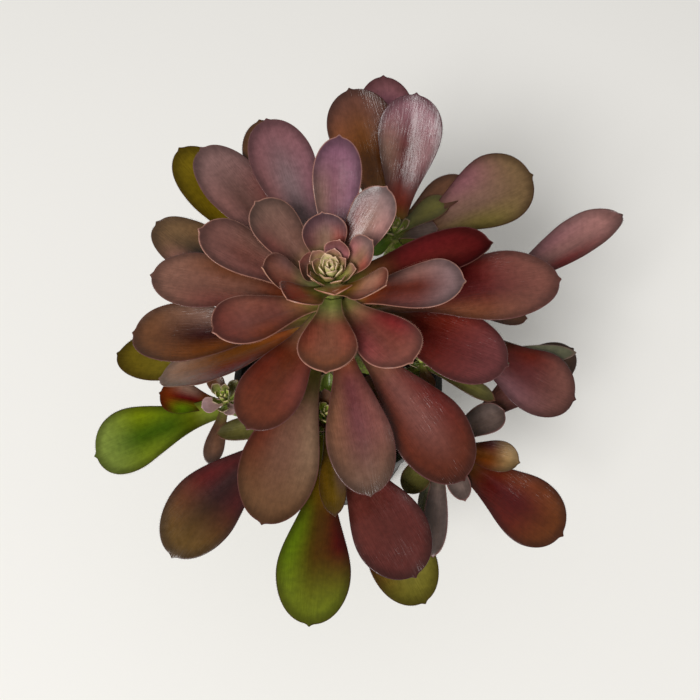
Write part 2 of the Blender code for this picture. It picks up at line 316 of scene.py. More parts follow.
# %% The fine blade's outline
def outline(shape, s):
    """The blade's width share. A short young leaf stays broad right down to its foot."""
    short = min(max((110.0 - shape.length) / 40.0, 0.0), 1.0)
    neck, power = shape.neck or 0.22 + 0.18 * short, 1.55 - 0.25 * short
    swell = neck + (1.0 - neck) * (
        0.5 - 0.5 * np.cos(pi * (np.minimum(s, WIDEST_AT) / WIDEST_AT) ** power))
    end = np.clip((s - WIDEST_AT) / (1.0 - WIDEST_AT), 0.0, 1.0)
    return np.where(s < WIDEST_AT, swell, np.sqrt(1.0 - end ** 2))


# %% Wrap a grid into a blade
Look = namedtuple("Look", "base blade left right tip rim under wrinkle wave reach edge",
                  defaults=(None, None, None, "#c9a79c", None, 0.5, 0.5, 0.45, 0.6))


def wrap_positions(shape, look, s, around, seed):
    """Where each vertex of the grid goes, and what its colour code needs to know of it."""
    across = np.cos(around)
    top = np.sin(around) >= 0
    centre, forward, left, up = leaf_axes(shape, s)
    half = 0.5 * shape.width * outline(shape, s)
    grown = min(1.0, 0.35 + 0.65 * shape.length / 80.0)
    wobble = np.array([noise.noise(Vector((a * 2.2, b * 0.7, seed * 7.31))) for a, b in
                       zip(s, np.sign(across))])
    half = half * (1.0 + 0.05 * wobble * smooth(0.3, 0.6, s))
    rounding = np.sqrt(np.clip(1.0 - np.abs(across) ** 24, 0.0, 1.0))
    rounding *= np.sqrt(np.clip(1.0 - np.clip((s - 0.975) / 0.025, 0, 1) ** 2, 0, 1))
    middle = np.polyval(shape.thick, s)
    edge = 1.0 * grown
    thick = (edge + np.maximum(middle - edge, 0.0) * (1.0 - np.abs(across) ** 1.4)) * rounding
    x = half * across
    z = np.polyval(shape.cup, s) * half * np.abs(across) ** 1.7
    swell = np.array([noise.noise(Vector((a * shape.length / 30, b / 15, seed * 3.7)))
                      for a, b in zip(s, x)])
    ripple = np.array([noise.noise(Vector((a * shape.length / 16, b, seed * 1.9)))
                       for a, b in zip(s, np.sign(across))])
    blade_share = smooth(0.2, 0.55, s)
    z += look.wave * grown * blade_share * (1.6 * swell + 1.8 * ripple * np.abs(across) ** 4)
    channel = np.exp(-(x / (1.5 * grown)) ** 2) * smooth(1.0, 0.75, s)
    z += np.where(top, 0.35 * thick - 0.45 * grown * channel, -0.65 * thick - 0.25 * channel)
    point = 1.5 * grown * np.exp(-(x / (1.3 * grown)) ** 2) * smooth(0.965, 1.0, s)
    place = centre + left * x[:, None] + up * z[:, None] + forward * point[:, None]
    end = np.clip((s - WIDEST_AT) / (1 - WIDEST_AT), 0, 1)
    inward = np.where(s < WIDEST_AT, half * (1 - np.abs(across)),
                      (1 - np.sqrt(end ** 2 + (outline(shape, s) * across) ** 2))
                      * min(0.5 * shape.width, 0.26 * shape.length))
    return place, x, across, top, inward


# the dark band is partly the margin's darker pigment and partly painted edge shade
MARGIN_PIGMENT_AND_SHADE, MARGIN_PIGMENT_AND_SHADE_WIDTH = "#140806", 6.5      # a dusky band inside the rim of a grown leaf, mm wide


def blade_colours(look, s, across, top, inward, length):
    """The colour of every vertex, with how wrinkled it is as the alpha."""
    def mix(under, over, share):
        return under + (np.array(linear(over)) - under) * share[:, None]

    colour = np.tile(linear(look.blade), (len(s), 1))
    if look.left:
        colour = mix(colour, look.left, smooth(0.0, 0.8, across) * smooth(0.2, 0.6, s))
    if look.right:
        colour = mix(colour, look.right, smooth(0.0, 0.8, -across) * smooth(0.2, 0.6, s))
    if look.tip:
        colour = mix(colour, look.tip, smooth(0.62, 0.98, s + 0.05 * np.abs(across)))
    colour = mix(colour, look.base, 1.0 - smooth(0.06, look.reach, s))
    colour = mix(colour, "#8f9e44", 0.6 * smooth(0.24, 0.06, s))
    under = look.under or "#6f7a3e"
    colour = mix(colour, under, np.where(top, 0.0, 0.45))
    grown = smooth(12.0, 40.0, np.full(len(s), length))
    # painted edge shade with the margin's darker pigment: the top of a grown leaf darkens towards its
    # rim
    colour = mix(colour, MARGIN_PIGMENT_AND_SHADE, 0.55 * smooth(MARGIN_PIGMENT_AND_SHADE_WIDTH, 0.6, inward) * np.where(top, grown, 0.0))
    colour = mix(colour, look.rim, look.edge * smooth(0.6, 0.15, inward) * smooth(0.0, 0.15, s))
    wrinkle = look.wrinkle * smooth(0.2, 0.5, s) * np.where(top, 1.0, 0.5)
    return np.column_stack([colour, wrinkle])


def blade(shape, look, seed, along=60, around=40):
    """A closed leaf in millimetres, as a bmesh."""
    sheet = bmesh.new()
    sheet.loops.layers.uv.new("UVMap")
    bmesh.ops.create_grid(sheet, x_segments=along, y_segments=around, size=1.0, calc_uvs=True)
    mesh = bpy.data.meshes.new("sheet")
    sheet.to_mesh(mesh)
    sheet.free()
    flat = np.empty(len(mesh.vertices) * 3)
    mesh.vertices.foreach_get("co", flat)
    flat = flat.reshape(-1, 3)
    t, a = (flat[:, 0] + 1) / 2, (flat[:, 1] + 1) * pi
    t0 = 0.62
    s = np.where(t < t0, WIDEST_AT * t / t0,
                 WIDEST_AT + (1 - WIDEST_AT) * np.sin(pi / 2 * np.clip((t - t0) / (1 - t0), 0, 1)))
    place, x, across, top, inward = wrap_positions(shape, look, s, a, seed)
    mesh.vertices.foreach_set("co", place.ravel())
    tint = mesh.attributes.new("tint", "FLOAT_COLOR", "POINT")
    tint.data.foreach_set("color", blade_colours(look, s, across, top, inward,
                                                    shape.length).ravel())
    corner = np.empty(len(mesh.loops), dtype=np.int32)
    mesh.loops.foreach_get("vertex_index", corner)
    ruled = np.column_stack([s * shape.length, x])[corner]
    mesh.uv_layers["UVMap"].data.foreach_set("uv", ruled.ravel())
    builder = bmesh.new()
    builder.from_mesh(mesh)
    bpy.data.meshes.remove(mesh)
    bmesh.ops.remove_doubles(builder, verts=builder.verts[:], dist=0.004)
    rim = [edge for edge in builder.edges if edge.is_boundary]
    bmesh.ops.holes_fill(builder, edges=rim, sides=0)
    bmesh.ops.recalc_face_normals(builder, faces=builder.faces[:])
    return builder


# %% [markdown]
# ## The fringe
# The margins of an aeonium leaf carry a fringe of tiny stiff hairs, under a millimetre long
# and about one to a millimetre. They catch the light as a pale, slightly rough line. Each hair
# is a three-sided cone of a few faces, stood on the margin and leaning a little forward.

# %% Stand hairs along a leaf's margin
def add_fringe(builder, shape, look, seed):
    chance = random.Random(seed)
    tint = builder.verts.layers.float_color["tint"]
    paint = (*linear(look.rim), 0.0)
    s = np.linspace(0.12, 0.999, 260)
    centre, forward, left, up = leaf_axes(shape, s)
    half = 0.5 * shape.width * outline(shape, s)
    lift = np.polyval(shape.cup, s) * half
    for side in (1, -1):
        line = centre + left * (side * half)[:, None] + up * lift[:, None]
        run = np.concatenate([[0.0], np.cumsum(np.linalg.norm(np.diff(line, axis=0), axis=1))])
        along = np.gradient(line, axis=0)
        out = unit(np.cross(along, up) * side)
        place = 0.5
        while place < run[-1]:
            at = min(int(np.searchsorted(run, place)), len(s) - 1)
            lean = Vector(out[at]) + 0.35 * Vector(unit(along[at:at + 1])[0])
            lean += Vector((chance.uniform(-0.25, 0.25) for _ in range(3)))
            size = chance.uniform(0.45, 0.8)
            turn = lean.to_track_quat("Z", "Y").to_matrix().to_4x4()
            foot = Vector(line[at]) + lean.normalized() * (0.5 * size - 0.25)
            hair = bmesh.ops.create_cone(
                builder, cap_ends=True, segments=3, radius1=0.13, radius2=0.0, depth=size,
                matrix=Matrix.Translation(foot) @ turn)
            for vertex in hair["verts"]:
                vertex[tint] = paint
            place += chance.uniform(0.9, 1.5)
    return builder


# %% [markdown]
# ## Leaf skin
# The skin is a thick, waxy cuticle over dark flesh: a satin surface with a refractive index
# near 1.45. It reads the colour that the vertices carry. A fine mottle and faint lengthwise
# veins break that colour up, and the skin is puckered into fine wrinkles that run along the
# leaf, a millimetre or so apart, which scatter the window's highlight. A thin smooth coat of
# wax lies over it, except on the dull leaves.

# %% The waxy skin of a leaf
def leaf_skin(name, roughness, coat, shine=0.22):
    material, tree, shader = new_material(name, roughness, 1.46)
    shader.inputs["Specular IOR Level"].default_value = shine
    tint = add_node(tree, "ShaderNodeAttribute", attribute_name="tint")
    ruled = add_node(tree, "ShaderNodeUVMap", uv_map="UVMap")
    place = add_node(tree, "ShaderNodeTexCoord")
    # mottle: cell clusters about 3 mm across
    mottle = add_node(tree, "ShaderNodeTexNoise", {"Vector": place.outputs["Object"],
                                                   "Scale": 330.0, "Detail": 4.0})
    # veins: 1.2 mm apart across the leaf, 18 mm long, barely seen
    vein_space = add_node(tree, "ShaderNodeMapping", {"Vector": ruled.outputs["UV"],
                                                      "Scale": (1 / 18, 1 / 1.2, 1.0)})
    vein = add_node(tree, "ShaderNodeTexNoise", {"Vector": vein_space.outputs["Vector"],
                                                 "Scale": 1.0, "Detail": 2.0})
    both = add_node(tree, "ShaderNodeMath", {0: vein.outputs["Fac"], 1: 0.4,
                                             2: mottle.outputs["Fac"]},
                    operation="MULTIPLY_ADD")
    shade = add_node(tree, "ShaderNodeMapRange", {"Value": both.outputs[0], "From Min": 0.5,
                                                  "From Max": 0.9, "To Min": 0.86,
                                                  "To Max": 1.14})
    coloured = add_node(tree, "ShaderNodeVectorMath", {0: tint.outputs["Color"],
                                                       1: shade.outputs["Result"]},
                        operation="MULTIPLY")
    tree.links.new(coloured.outputs["Vector"], shader.inputs["Base Color"])
    # wrinkles: 1.1 mm apart across the leaf, 9 mm long, in patches a few centimetres wide
    wrinkle_space = add_node(tree, "ShaderNodeMapping", {"Vector": ruled.outputs["UV"],
                                                         "Scale": (1 / 9, 1 / 1.1, 1.0)})
    wrinkle = add_node(tree, "ShaderNodeTexNoise", {"Vector": wrinkle_space.outputs["Vector"],
                                                    "Scale": 1.0, "Detail": 3.0,
                                                    "Roughness": 0.6, "Distortion": 0.7})
    patch = add_node(tree, "ShaderNodeTexNoise", {"Vector": place.outputs["Object"],
                                                  "Scale": 55.0, "Detail": 1.0})
    puckered = add_node(tree, "ShaderNodeMapRange", {"Value": patch.outputs["Fac"],
                                                     "From Min": 0.4, "From Max": 0.62,
                                                     "To Min": 0.2, "To Max": 1.0})
    amount = add_node(tree, "ShaderNodeMath", {0: puckered.outputs["Result"],
                                               1: tint.outputs["Alpha"]},
                      operation="MULTIPLY")
    folded = add_node(tree, "ShaderNodeMath", {0: wrinkle.outputs["Fac"],
                                               1: amount.outputs[0]},
                      operation="MULTIPLY")
    grain = add_node(tree, "ShaderNodeTexNoise", {"Vector": place.outputs["Object"],
                                                  "Scale": 1500.0, "Detail": 2.0})
    height = add_node(tree, "ShaderNodeMath", {0: grain.outputs["Fac"], 1: 0.05,
                                               2: folded.outputs[0]},
                      operation="MULTIPLY_ADD")
    bump = add_node(tree, "ShaderNodeBump", {"Height": height.outputs[0], "Strength": 1.0,
                                             "Distance": 0.00055})
    tree.links.new(bump.outputs["Normal"], shader.inputs["Normal"])
    tree.links.new(bump.outputs["Normal"], shader.inputs["Coat Normal"])
    patchy = add_node(tree, "ShaderNodeMapRange", {"Value": mottle.outputs["Fac"],
                                                   "From Min": 0.35, "From Max": 0.65,
                                                   "To Min": roughness - 0.05,
                                                   "To Max": roughness + 0.07})
    tree.links.new(patchy.outputs["Result"], shader.inputs["Roughness"])
    shader.inputs["Coat Weight"].default_value = coat
    shader.inputs["Coat Roughness"].default_value = 0.18
    shader.inputs["Coat IOR"].default_value = 1.45
    return material


dark_skin = leaf_skin("waxy_leaf_cuticle", 0.38, 0.42)
dull_skin = leaf_skin("dull_leaf_cuticle", 0.55, 0.0, 0.02)

# %% [markdown]
# ## What each leaf looks like
# An aeonium reddens in the sun. The heart stays yellow-green, the young leaves round it are
# purple-brown with green feet, the full-grown ones are copper to purple-brown, and the oldest,
# shaded ones are maroon or still green. A look gives a leaf's colours: at its base, over the
# blade, at its tip, on its left and right halves, and along its rim. The colours of the imported
# leaves hold painted light as well as pigment.

# %% The looks of the imported leaves
YOUNG_RIM, GROWN_RIM, OLD_RIM = "#b98474", "#613a3a", "#351218"
# The sRGB colours of each leaf's base, blade, left half, right half and tip, fitted leaf by leaf.
# They hold painted light as well as pigment: painted shade where a leaf or one of its halves lies in
# shadow, and a painted sheen, capped, on the palest purple-grey zones.
LEAF_COLOURS_AND_PAINTED_LIGHT = {
    "leaf_01": "adad75 ad6249 964d0b adad48 ad6249",
    "leaf_02": "adab5c 786e4d 786e4d 786e4d 692e23",
    "leaf_03": "a8a84a 784d51 784d51 a26366 724543",
    "leaf_04": "a8a84a 78574d 78574d 90655b 834c45",
    "leaf_05": "ad9a5b 845f4a ab6b6a ad5a4b 826461",
    "leaf_06": "adad4c 9e4734 ad6a44 ad573e 83140b",
    "leaf_07": "a7790b ad7761 ad7c65 ad6b5d 915040",
    "leaf_08": "a8a84a 7d5e4e 663a39 8a3d33 634249",
    "leaf_09": "adad70 9d6250 ad5240 94675f 844b3b",
    "leaf_10": "adad69 925945 9d5140 944837 7c4528",
    "leaf_11": "6a6a34 8a675d 640b0b ad7c76 826968",
    "leaf_12": "ad8d57 785449 754039 6c4c42 6b4f45",
    "leaf_13": "ad845f 7a3f36 802628 9c4a4b 81483d",
    "leaf_14": "ad7448 7b483f 83402a 8d5243 71342a",
    "leaf_15": "9f450b 581b0b 885d55 703b36 7e6465",
    "leaf_16": "6a6a34 784d57 78574d 784d60 784d61",
    "leaf_17": "6a6a34 76483f 835049 745147 754c45",
    "leaf_18": "94683c 5c1e1a 581618 400e0e 4e1212",
    "leaf_19": "ad7e61 5e2916 78382e 611e0b 632d18",
    "leaf_20": "6a6a34 755d60 784d4d 784d56 784d52",
    "leaf_21": "a6590b 653436 7b463f 7e5139 654737",
    "leaf_22": "ad470b 754b3e 7b4138 633417 835a4b",
    "leaf_23": "ad9369 591510 6b1e11 692019 683233",
    "leaf_24": "6a6a34 5c3c35 845751 643732 7c5c59",
    "leaf_25": "ad7251 2e0b0b 743b0b 78594d 673f23",
    "leaf_26": "9c6e40 7b4942 5d160f 5f210b 54200c",
    "leaf_27": "ad5932 6e3b0b 650b0b 6e3b0b 936f59",
    "leaf_28": "999e40 69483a 795e4a 59281b 5f422c",
    "leaf_29": "ad795a 5a1c1c 5a0b0b 7d4831 75463c",
    "leaf_30": "6a6a34 5a3a20 6a4424 6a4a3a 6a4424",
    "leaf_31": "6a6a34 0b0b0b aa6d6a 56330b 6f5335",
    "leaf_32": "6a6a34 6a5e1c 6a5e1c 6a5e1c 5f5012",
    "leaf_33": "6a6a34 66530b 66530b 66530b 685711",
    "back_leaf_1": "a74025 490b0b 755446 784d50 784d57",
    "back_leaf_2": "6a6a34 6e3d0b 894d25 320b0b 5d372b",
    "back_leaf_3": "704f2c 6c5145 784d52 706233 685238",
    "back_leaf_4": "6a6a34 784d66 784d66 784d66 784d51",
    "left_leaf_1": "62640b 3a520b 6e7d1d 6b780b 75843a",
    "left_leaf_2": "75470b 530b0b 6a8c0b 987767 79300c",
    "front_leaf_1": "a8762f 5b440b 78594d 88620b 74570b",
    "front_leaf_2": "6a6a34 53211b 59221e 652c25 52201b",
    "front_leaf_3": "6a6a34 2a0b0b 410b0b 550b0b 583d0b",
    "front_leaf_4": "a47e0c 442c0b 420b0b 54680b 5d6518",
    "front_leaf_5": "6a6a34 82783b 82783b 55120b 635c1f",
    "low_leaf_1": "6a6a34 5e310b 400b0b 8b410b a78759",
    "low_leaf_2": "3f300e 4d0c0b 652a0b 59150b 602f0b",
    "low_leaf_3": "5f5126 643d3a 572e24 643d3a 5a4030",
    "far_leaf_1": "6a6a34 78514d 784d51 690b0b 956762",
    "far_leaf_2": "6a6a34 552424 58170b 784d52 6c423a",
}


def leaf_look(leaf):
    # the table's colours are pigment together with painted shade and capped painted sheen
    colours = [f"#{code}" for code in LEAF_COLOURS_AND_PAINTED_LIGHT[leaf].split()]
    rank = int(leaf[5:]) if leaf.startswith("leaf_") else 40
    rim = YOUNG_RIM if rank < 18 else GROWN_RIM if rank < 30 else OLD_RIM
    return Look(*colours, rim=rim, wrinkle=0.25 + 0.35 * min(rank, 20) / 20,
                wave=0.3 + 0.4 * min(rank, 20) / 20, reach=0.45 if rank > 9 else 0.6)


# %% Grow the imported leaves
# these leaves show little shine
DULL_LEAVES = {"back_leaf_3", "back_leaf_4", "front_leaf_4", "front_leaf_5", "leaf_18",
               "leaf_28", "leaf_32", "leaf_33", "left_leaf_1", "left_leaf_2"}
for number, leaf in enumerate(LEAVES):
    shape = SHAPES[leaf]
    grown = blade(shape, leaf_look(leaf), number)
    add_fringe(grown, shape, leaf_look(leaf), number)
    skin = dull_skin if leaf in DULL_LEAVES else dark_skin
    finish_piece(f"{leaf}_blade", grown, skin, [leaf])
print("grew", len(LEAVES), "leaves")

# %% [markdown]
# ## Hearts
# The heart of a rosette is a tight spiral of the youngest leaves. Each new leaf stands 137.5
# degrees on from the last, the golden angle, so none shades another. They are yellow-green,
# hollow and fringed with pink, and lean over the growing point like the scales of a bud.

# %% Put several leaves into one piece
def add_leaf(cluster, young, base, look, seed, along, around):
    shape = young_shape(young, base)
    grown = blade(shape, look, seed, along, around)
    if young.length > 9:
        add_fringe(grown, shape, look, seed)
    mesh = bpy.data.meshes.new("leaf")
    grown.to_mesh(mesh)
    grown.free()
    cluster.from_mesh(mesh)
    bpy.data.meshes.remove(mesh)


def grow_heart(name, count, size, inner, outer, seed):
    """A spiral of tiny leaves in place of a packed heart; size is the outermost one's length."""
    low, high = (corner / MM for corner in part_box(name))
    cluster = bmesh.new()
    middle = (low + high) / 2
    for rank in range(count):
        share = rank / (count - 1)
        length = size * (0.34 + 0.66 * share)
        young = Young(137.5 * rank + seed * 40, 84 - 38 * share, length, length * (0.56 + 0.1 * share),
                      -34 + 14 * share, 0.5 - 0.1 * share)
        turn = radians(young.azimuth)
        reach = 0.7 + 2.4 * share
        foot = (middle.x + reach * cos(turn), middle.y + reach * sin(turn),
                high.z - 0.36 * size - 0.62 * size * share)
        add_leaf(cluster, young, foot, inner if share < 0.6 else outer, seed * 50 + rank, 16, 16)
    return finish_piece(f"{name}_spiral", cluster, dark_skin, [name])


BUD = Look("#c6cc66", "#d4d08c", tip="#d2bb96", rim="#dcb6a0", under="#c4cc74", wrinkle=0.1,
           wave=0.4, reach=0.5)
BUD_EDGE = Look("#c0c65c", "#94685a", rim="#cf9f8c", under="#aab058", wrinkle=0.2, wave=0.4,
                reach=1.0)
GREEN_BUD = Look("#b2c458", "#a6ba4a", tip="#9c9a50", rim="#c4a88c", under="#a2b64a", wrinkle=0.1,
                 wave=0.2, reach=0.3)
GREEN_EDGE = Look("#86a03e", "#6f6a3c", rim="#b8968a", under="#7f9440", wrinkle=0.2, wave=0.2,
                  reach=0.9)
grow_heart("heart_main", 21, 18.0, BUD, BUD_EDGE, 1)
for seed, name in enumerate(sorted(set(HEARTS) - {"heart_main"}), start=2):
    grow_heart(name, 12, 16.0 if name == "heart_front" else 11.5, GREEN_BUD, GREEN_EDGE, seed)

# %% [markdown]
# ## The side shoots' small leaves
# Each side shoot has its own loose rosette. Its smaller leaves are too many for the packed
# model, so they are grown here from a table: the direction, rise, length and width of each,
# and what it looks like.

# %% Looks of the small leaves
PINK = Look("#8f7a54", "#9a7a78", tip="#a08284", rim="#c9a3a0", wrinkle=0.3, wave=0.3)
OLIVE = Look("#7d8a38", "#5f5a2a", rim="#5a2a26", wrinkle=0.4, wave=0.5)
BROWN = Look("#7d7a3c", "#5c3a26", rim="#4a1f1c", wrinkle=0.4, wave=0.5)
GREY = Look("#7d8050", "#6c5a54", rim="#8a5a58", wrinkle=0.4, wave=0.5)
GREEN = Look("#8aa43a", "#5f8424", rim="#7a5a3a", wrinkle=0.2, wave=0.4, under="#8fae4a")
LIME = Look("#a8c256", "#9cba48", rim="#8fa048", wrinkle=0.1, wave=0.3, under="#a4bc58")
PALE = Look("#93995c", "#77785c", rim="#6a4a44", wrinkle=0.3, wave=0.4)

# %% The small leaves of every side shoot
SMALL_LEAVES = {
    "left": [(Young(200, 12, 15, 11), PINK), (Young(300, 25, 13, 9), PINK),
             (Young(258, -10, 39, 13, 14), BROWN), (Young(60, 35, 17, 9), OLIVE),
             (Young(120, 25, 22, 11), BROWN)],
    "front": [(Young(95, 52, 19, 9), BROWN), (Young(187, -3, 66, 15), OLIVE),
              (Young(320, 30, 15, 9), OLIVE), (Young(240, 35, 14, 9), BROWN),
              (Young(33, 20, 42, 15), BROWN), (Young(88, 34, 30, 9), LIME)],
    "right": [(Young(283, -8, 18, 10, 14), BROWN), (Young(333, -4, 48, 11, 14), OLIVE),
              (Young(6, -1, 96, 13, 8), PALE),
              (Young(217, -4, 40, 18), BROWN), (Young(246, -12, 47, 13, 16), PALE),
              (Young(80, 15, 24, 12), OLIVE), (Young(20, 10, 26, 12), BROWN)],
    "low": [(Young(24, 10, 43, 20), GREY), (Young(234, 0, 38, 17), OLIVE),
            (Young(290, -2, 37, 14), GREY), (Young(264, -10, 66, 15, 14), GREY),
            (Young(254, -14, 44, 10, 14), PALE), (Young(152, 8, 30, 13), GREY)],
    "back": [(Young(30, 14, 42, 18), OLIVE), (Young(37, 14, 61, 23), BROWN),
             (Young(4, 12, 29, 15), GREY), (Young(222, 10, 23, 13), GREEN),
             (Young(160, 20, 26, 13), OLIVE), (Young(300, 5, 24, 12), GREEN)],
    "far": [(Young(4, 14, 23, 13), GREEN),
            (Young(-9, 2, 41, 15), BROWN), (Young(100, 15, 28, 14), OLIVE),
            (Young(200, 10, 26, 13), BROWN)],
}
for seed, (shoot, small) in enumerate(SMALL_LEAVES.items(), start=60):
    low, high = (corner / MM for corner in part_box(f"heart_{shoot}"))
    cluster = bmesh.new()
    for rank, (young, look) in enumerate(small):
        foot = ((low.x + high.x) / 2, (low.y + high.y) / 2, low.z + 1.0 - 1.4 * rank)
        add_leaf(cluster, young, foot, look, seed * 20 + rank, 36, 24)
    finish_piece(f"{shoot}_small_leaves", cluster, dark_skin)
print("grew", sum(len(small) for small in SMALL_LEAVES.values()), "small leaves")

# %% [markdown]
# ## The stem
# The old stem is corky and brown-green, covered in lozenge-shaped scars where leaves once
# grew, and its branches are younger and greener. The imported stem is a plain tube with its
# branches joined on. A copy of it is remeshed into small even faces, which melts the joints
# together, then smoothed, and every vertex is moved by the pattern of scars.

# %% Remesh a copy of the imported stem
def remeshed(node, voxel):
    """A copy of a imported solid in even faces, as a bmesh in millimetres."""
    merged = bmesh.new()
    merged.from_mesh(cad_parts[node].data)
    bmesh.ops.remove_doubles(merged, verts=merged.verts[:], dist=1e-5)
    mesh = bpy.data.meshes.new(f"{node}_copy")
    merged.to_mesh(mesh)
    merged.free()
    copy = bpy.data.objects.new(f"{node}_copy", mesh)
    bpy.context.scene.collection.objects.link(copy)
    remesh = copy.modifiers.new("even_faces", "REMESH")
    remesh.mode = "VOXEL"
    remesh.voxel_size = voxel * MM
    depsgraph = bpy.context.evaluated_depsgraph_get()
    even = bpy.data.meshes.new_from_object(copy.evaluated_get(depsgraph))
    bpy.data.objects.remove(copy)
    builder = bmesh.new()
    builder.from_mesh(even)
    bpy.data.meshes.remove(even)
    builder.transform(Matrix.Scale(1 / MM, 4))
    return builder


stem_skin = remeshed("stem", 1.0)
for _ in range(4):
    bmesh.ops.smooth_vert(stem_skin, verts=stem_skin.verts[:], factor=0.5,
                          use_axis_x=True, use_axis_y=True, use_axis_z=True)
stem_skin.normal_update()
stem_tint = stem_skin.verts.layers.float_color.new("tint")
young_green, old_brown, scar_brown = (np.array(linear(tone)) for tone in
                                      ("#8aa238", "#6a5a3e", "#8a7450"))
for vertex in stem_skin.verts:
    place = vertex.co
    near = noise.voronoi(Vector((place.x / 6.0, place.y / 6.0, place.z / 4.5)))[0]
    groove = 1.0 - min(1.0, (near[1] - near[0]) / 0.16)
    trunk = 1.0 - min(1.0, max(0.0, Vector((place.x, place.y)).length - 9.0) / 14.0)
    aged = trunk * min(1.0, max(0.0, (235.0 - place.z) / 70.0))
    tone = young_green + (old_brown - young_green) * (0.25 + 0.75 * aged)
    tone = tone + (scar_brown - tone) * (0.7 * groove)
    vertex[stem_tint] = (*tone, 0.3 + 0.7 * aged)
    vertex.co = place + vertex.normal * (0.45 * (1.0 - groove) * (0.4 + 0.6 * aged)
                                         + 0.5 * noise.noise(place / 11.0))
print("the stem has", len(stem_skin.faces), "faces")


# %% Corky bark
def corky_bark():
    """Young aeonium bark: dull, faintly waxy cork with fine cracks about 1 mm apart."""
    material, tree, shader = new_material("green_corky_bark", 0.62)
    tint = add_node(tree, "ShaderNodeAttribute", attribute_name="tint")
    place = add_node(tree, "ShaderNodeTexCoord")
    speck = add_node(tree, "ShaderNodeTexNoise", {"Vector": place.outputs["Object"],
                                                  "Scale": 900.0, "Detail": 5.0})
    shade = add_node(tree, "ShaderNodeMapRange", {"Value": speck.outputs["Fac"], "From Min": 0.3,
                                                  "From Max": 0.7, "To Min": 0.6, "To Max": 1.35})
    coloured = add_node(tree, "ShaderNodeVectorMath", {0: tint.outputs["Color"],
                                                       1: shade.outputs["Result"]},
                        operation="MULTIPLY")
    tree.links.new(coloured.outputs["Vector"], shader.inputs["Base Color"])
    bump = add_node(tree, "ShaderNodeBump", {"Height": speck.outputs["Fac"], "Strength": 1.0,
                                             "Distance": 0.0009})
    tree.links.new(bump.outputs["Normal"], shader.inputs["Normal"])
    return material


finish_piece("stem_skin", stem_skin, corky_bark(), ["stem"])

# %% [markdown]
# ## The nursery pot
# A nursery pot is thin black polypropylene, injection moulded: a tapered wall, a deep band
# round the rim to lift it by, and drain holes in the floor. Its section is spun round the axis,
# its sharp rings are bevelled as a mould would round them, and the holes are cut with cylinders.

# %% Spin the pot
def in_order(builder):
    """Put a mesh's parts in an order set by where they are, so that every run gives the same."""
    def rank(point):
        return point.x + 1.6180339887 * point.y + 2.7182818285 * point.z

    builder.verts.sort(key=lambda vertex: rank(vertex.co))
    builder.edges.sort(key=lambda edge: rank((edge.verts[0].co + edge.verts[1].co) / 2))
    builder.faces.sort(key=lambda face: rank(face.calc_center_median()))
    for parts in (builder.verts, builder.edges, builder.faces):
        parts.index_update()
    return builder


def spun(profile, steps):
    """Spin a closed profile of (radius, height) points into a solid."""
    builder = bmesh.new()
    corners = [builder.verts.new((radius, 0.0, height)) for radius, height in profile]
    for one, two in zip(corners, corners[1:] + corners[:1]):
        if max(one.co.x, two.co.x) > 0.0:
            builder.edges.new((one, two))
    bmesh.ops.spin(builder, geom=builder.verts[:] + builder.edges[:], cent=(0, 0, 0),
                   axis=(0, 0, 1), angle=2 * pi, steps=steps, use_merge=True,
                   use_duplicate=False)
    bmesh.ops.remove_doubles(builder, verts=builder.verts[:], dist=0.01)
    bmesh.ops.recalc_face_normals(builder, faces=builder.faces[:])
    return in_order(builder)


_, pot_high = (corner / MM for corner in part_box("nursery_pot"))
RIM = pot_high.x             # over the rim band
TALL = pot_high.z
FOOT = 0.72 * RIM            # the underside's radius
WALL = 1.7
BAND = 12.0                  # how deep the rim band is


def wall_radius(height):
    return FOOT + (RIM - 3.0 - FOOT) * height / TALL


pot = spun([
    (0.0, 0.0), (FOOT, 0.0), (FOOT, 1.8), (wall_radius(28), 28), (wall_radius(28) - 0.5, 28.6),
    (wall_radius(TALL - BAND) - 0.5, TALL - BAND), (RIM - 0.4, TALL - BAND), (RIM, TALL - 6.0),
    (RIM, TALL - 0.2), (RIM - 1.6, TALL), (wall_radius(TALL) - WALL + 0.9, TALL),
    (wall_radius(TALL) - WALL, TALL - 1.0), (wall_radius(2.2) - WALL, 3.8),
    (wall_radius(2.2) - WALL - 1.6, 2.2), (0.0, 2.2)], 160)
sharp = [edge for edge in pot.edges if edge.is_manifold and edge.calc_face_angle() > 0.45]
bmesh.ops.bevel(pot, geom=sharp, offset=0.4, affect="EDGES", segments=2, profile=0.5,
                material=-1, clamp_overlap=True)
in_order(pot)
print("the pot is", round(2 * RIM), "mm across its rim and", round(TALL), "mm tall")


# %% Moulded polypropylene
def moulded_polypropylene():
    """Black nursery plastic: satin, with the fine 0.6 mm pebble of a blasted mould, and a
    little dried peat dust that dulls it in patches a few centimetres wide."""
    material, tree, shader = new_material("black_polypropylene", 0.42, 1.49)
    place = add_node(tree, "ShaderNodeTexCoord")
    pebble = add_node(tree, "ShaderNodeTexNoise", {"Vector": place.outputs["Object"],
                                                   "Scale": 1600.0, "Detail": 2.0})
    dust = add_node(tree, "ShaderNodeTexNoise", {"Vector": place.outputs["Object"],
                                                 "Scale": 38.0, "Detail": 6.0})
    patch = add_node(tree, "ShaderNodeMapRange", {"Value": dust.outputs["Fac"], "From Min": 0.45,
                                                  "From Max": 0.75, "To Min": 0.0,
                                                  "To Max": 0.35})
    colour = add_node(tree, "ShaderNodeMix", {"Factor": patch.outputs["Result"],
                                              6: rgba("#111112"), 7: rgba("#3b3128")},
                      data_type="RGBA")
    tree.links.new(colour.outputs[2], shader.inputs["Base Color"])
    dull = add_node(tree, "ShaderNodeMapRange", {"Value": patch.outputs["Result"],
                                                 "To Max": 1.3, "To Min": 0.4})
    tree.links.new(dull.outputs["Result"], shader.inputs["Roughness"])
    bump = add_node(tree, "ShaderNodeBump", {"Height": pebble.outputs["Fac"], "Strength": 0.5,
                                             "Distance": 0.0003})
    tree.links.new(bump.outputs["Normal"], shader.inputs["Normal"])
    return material


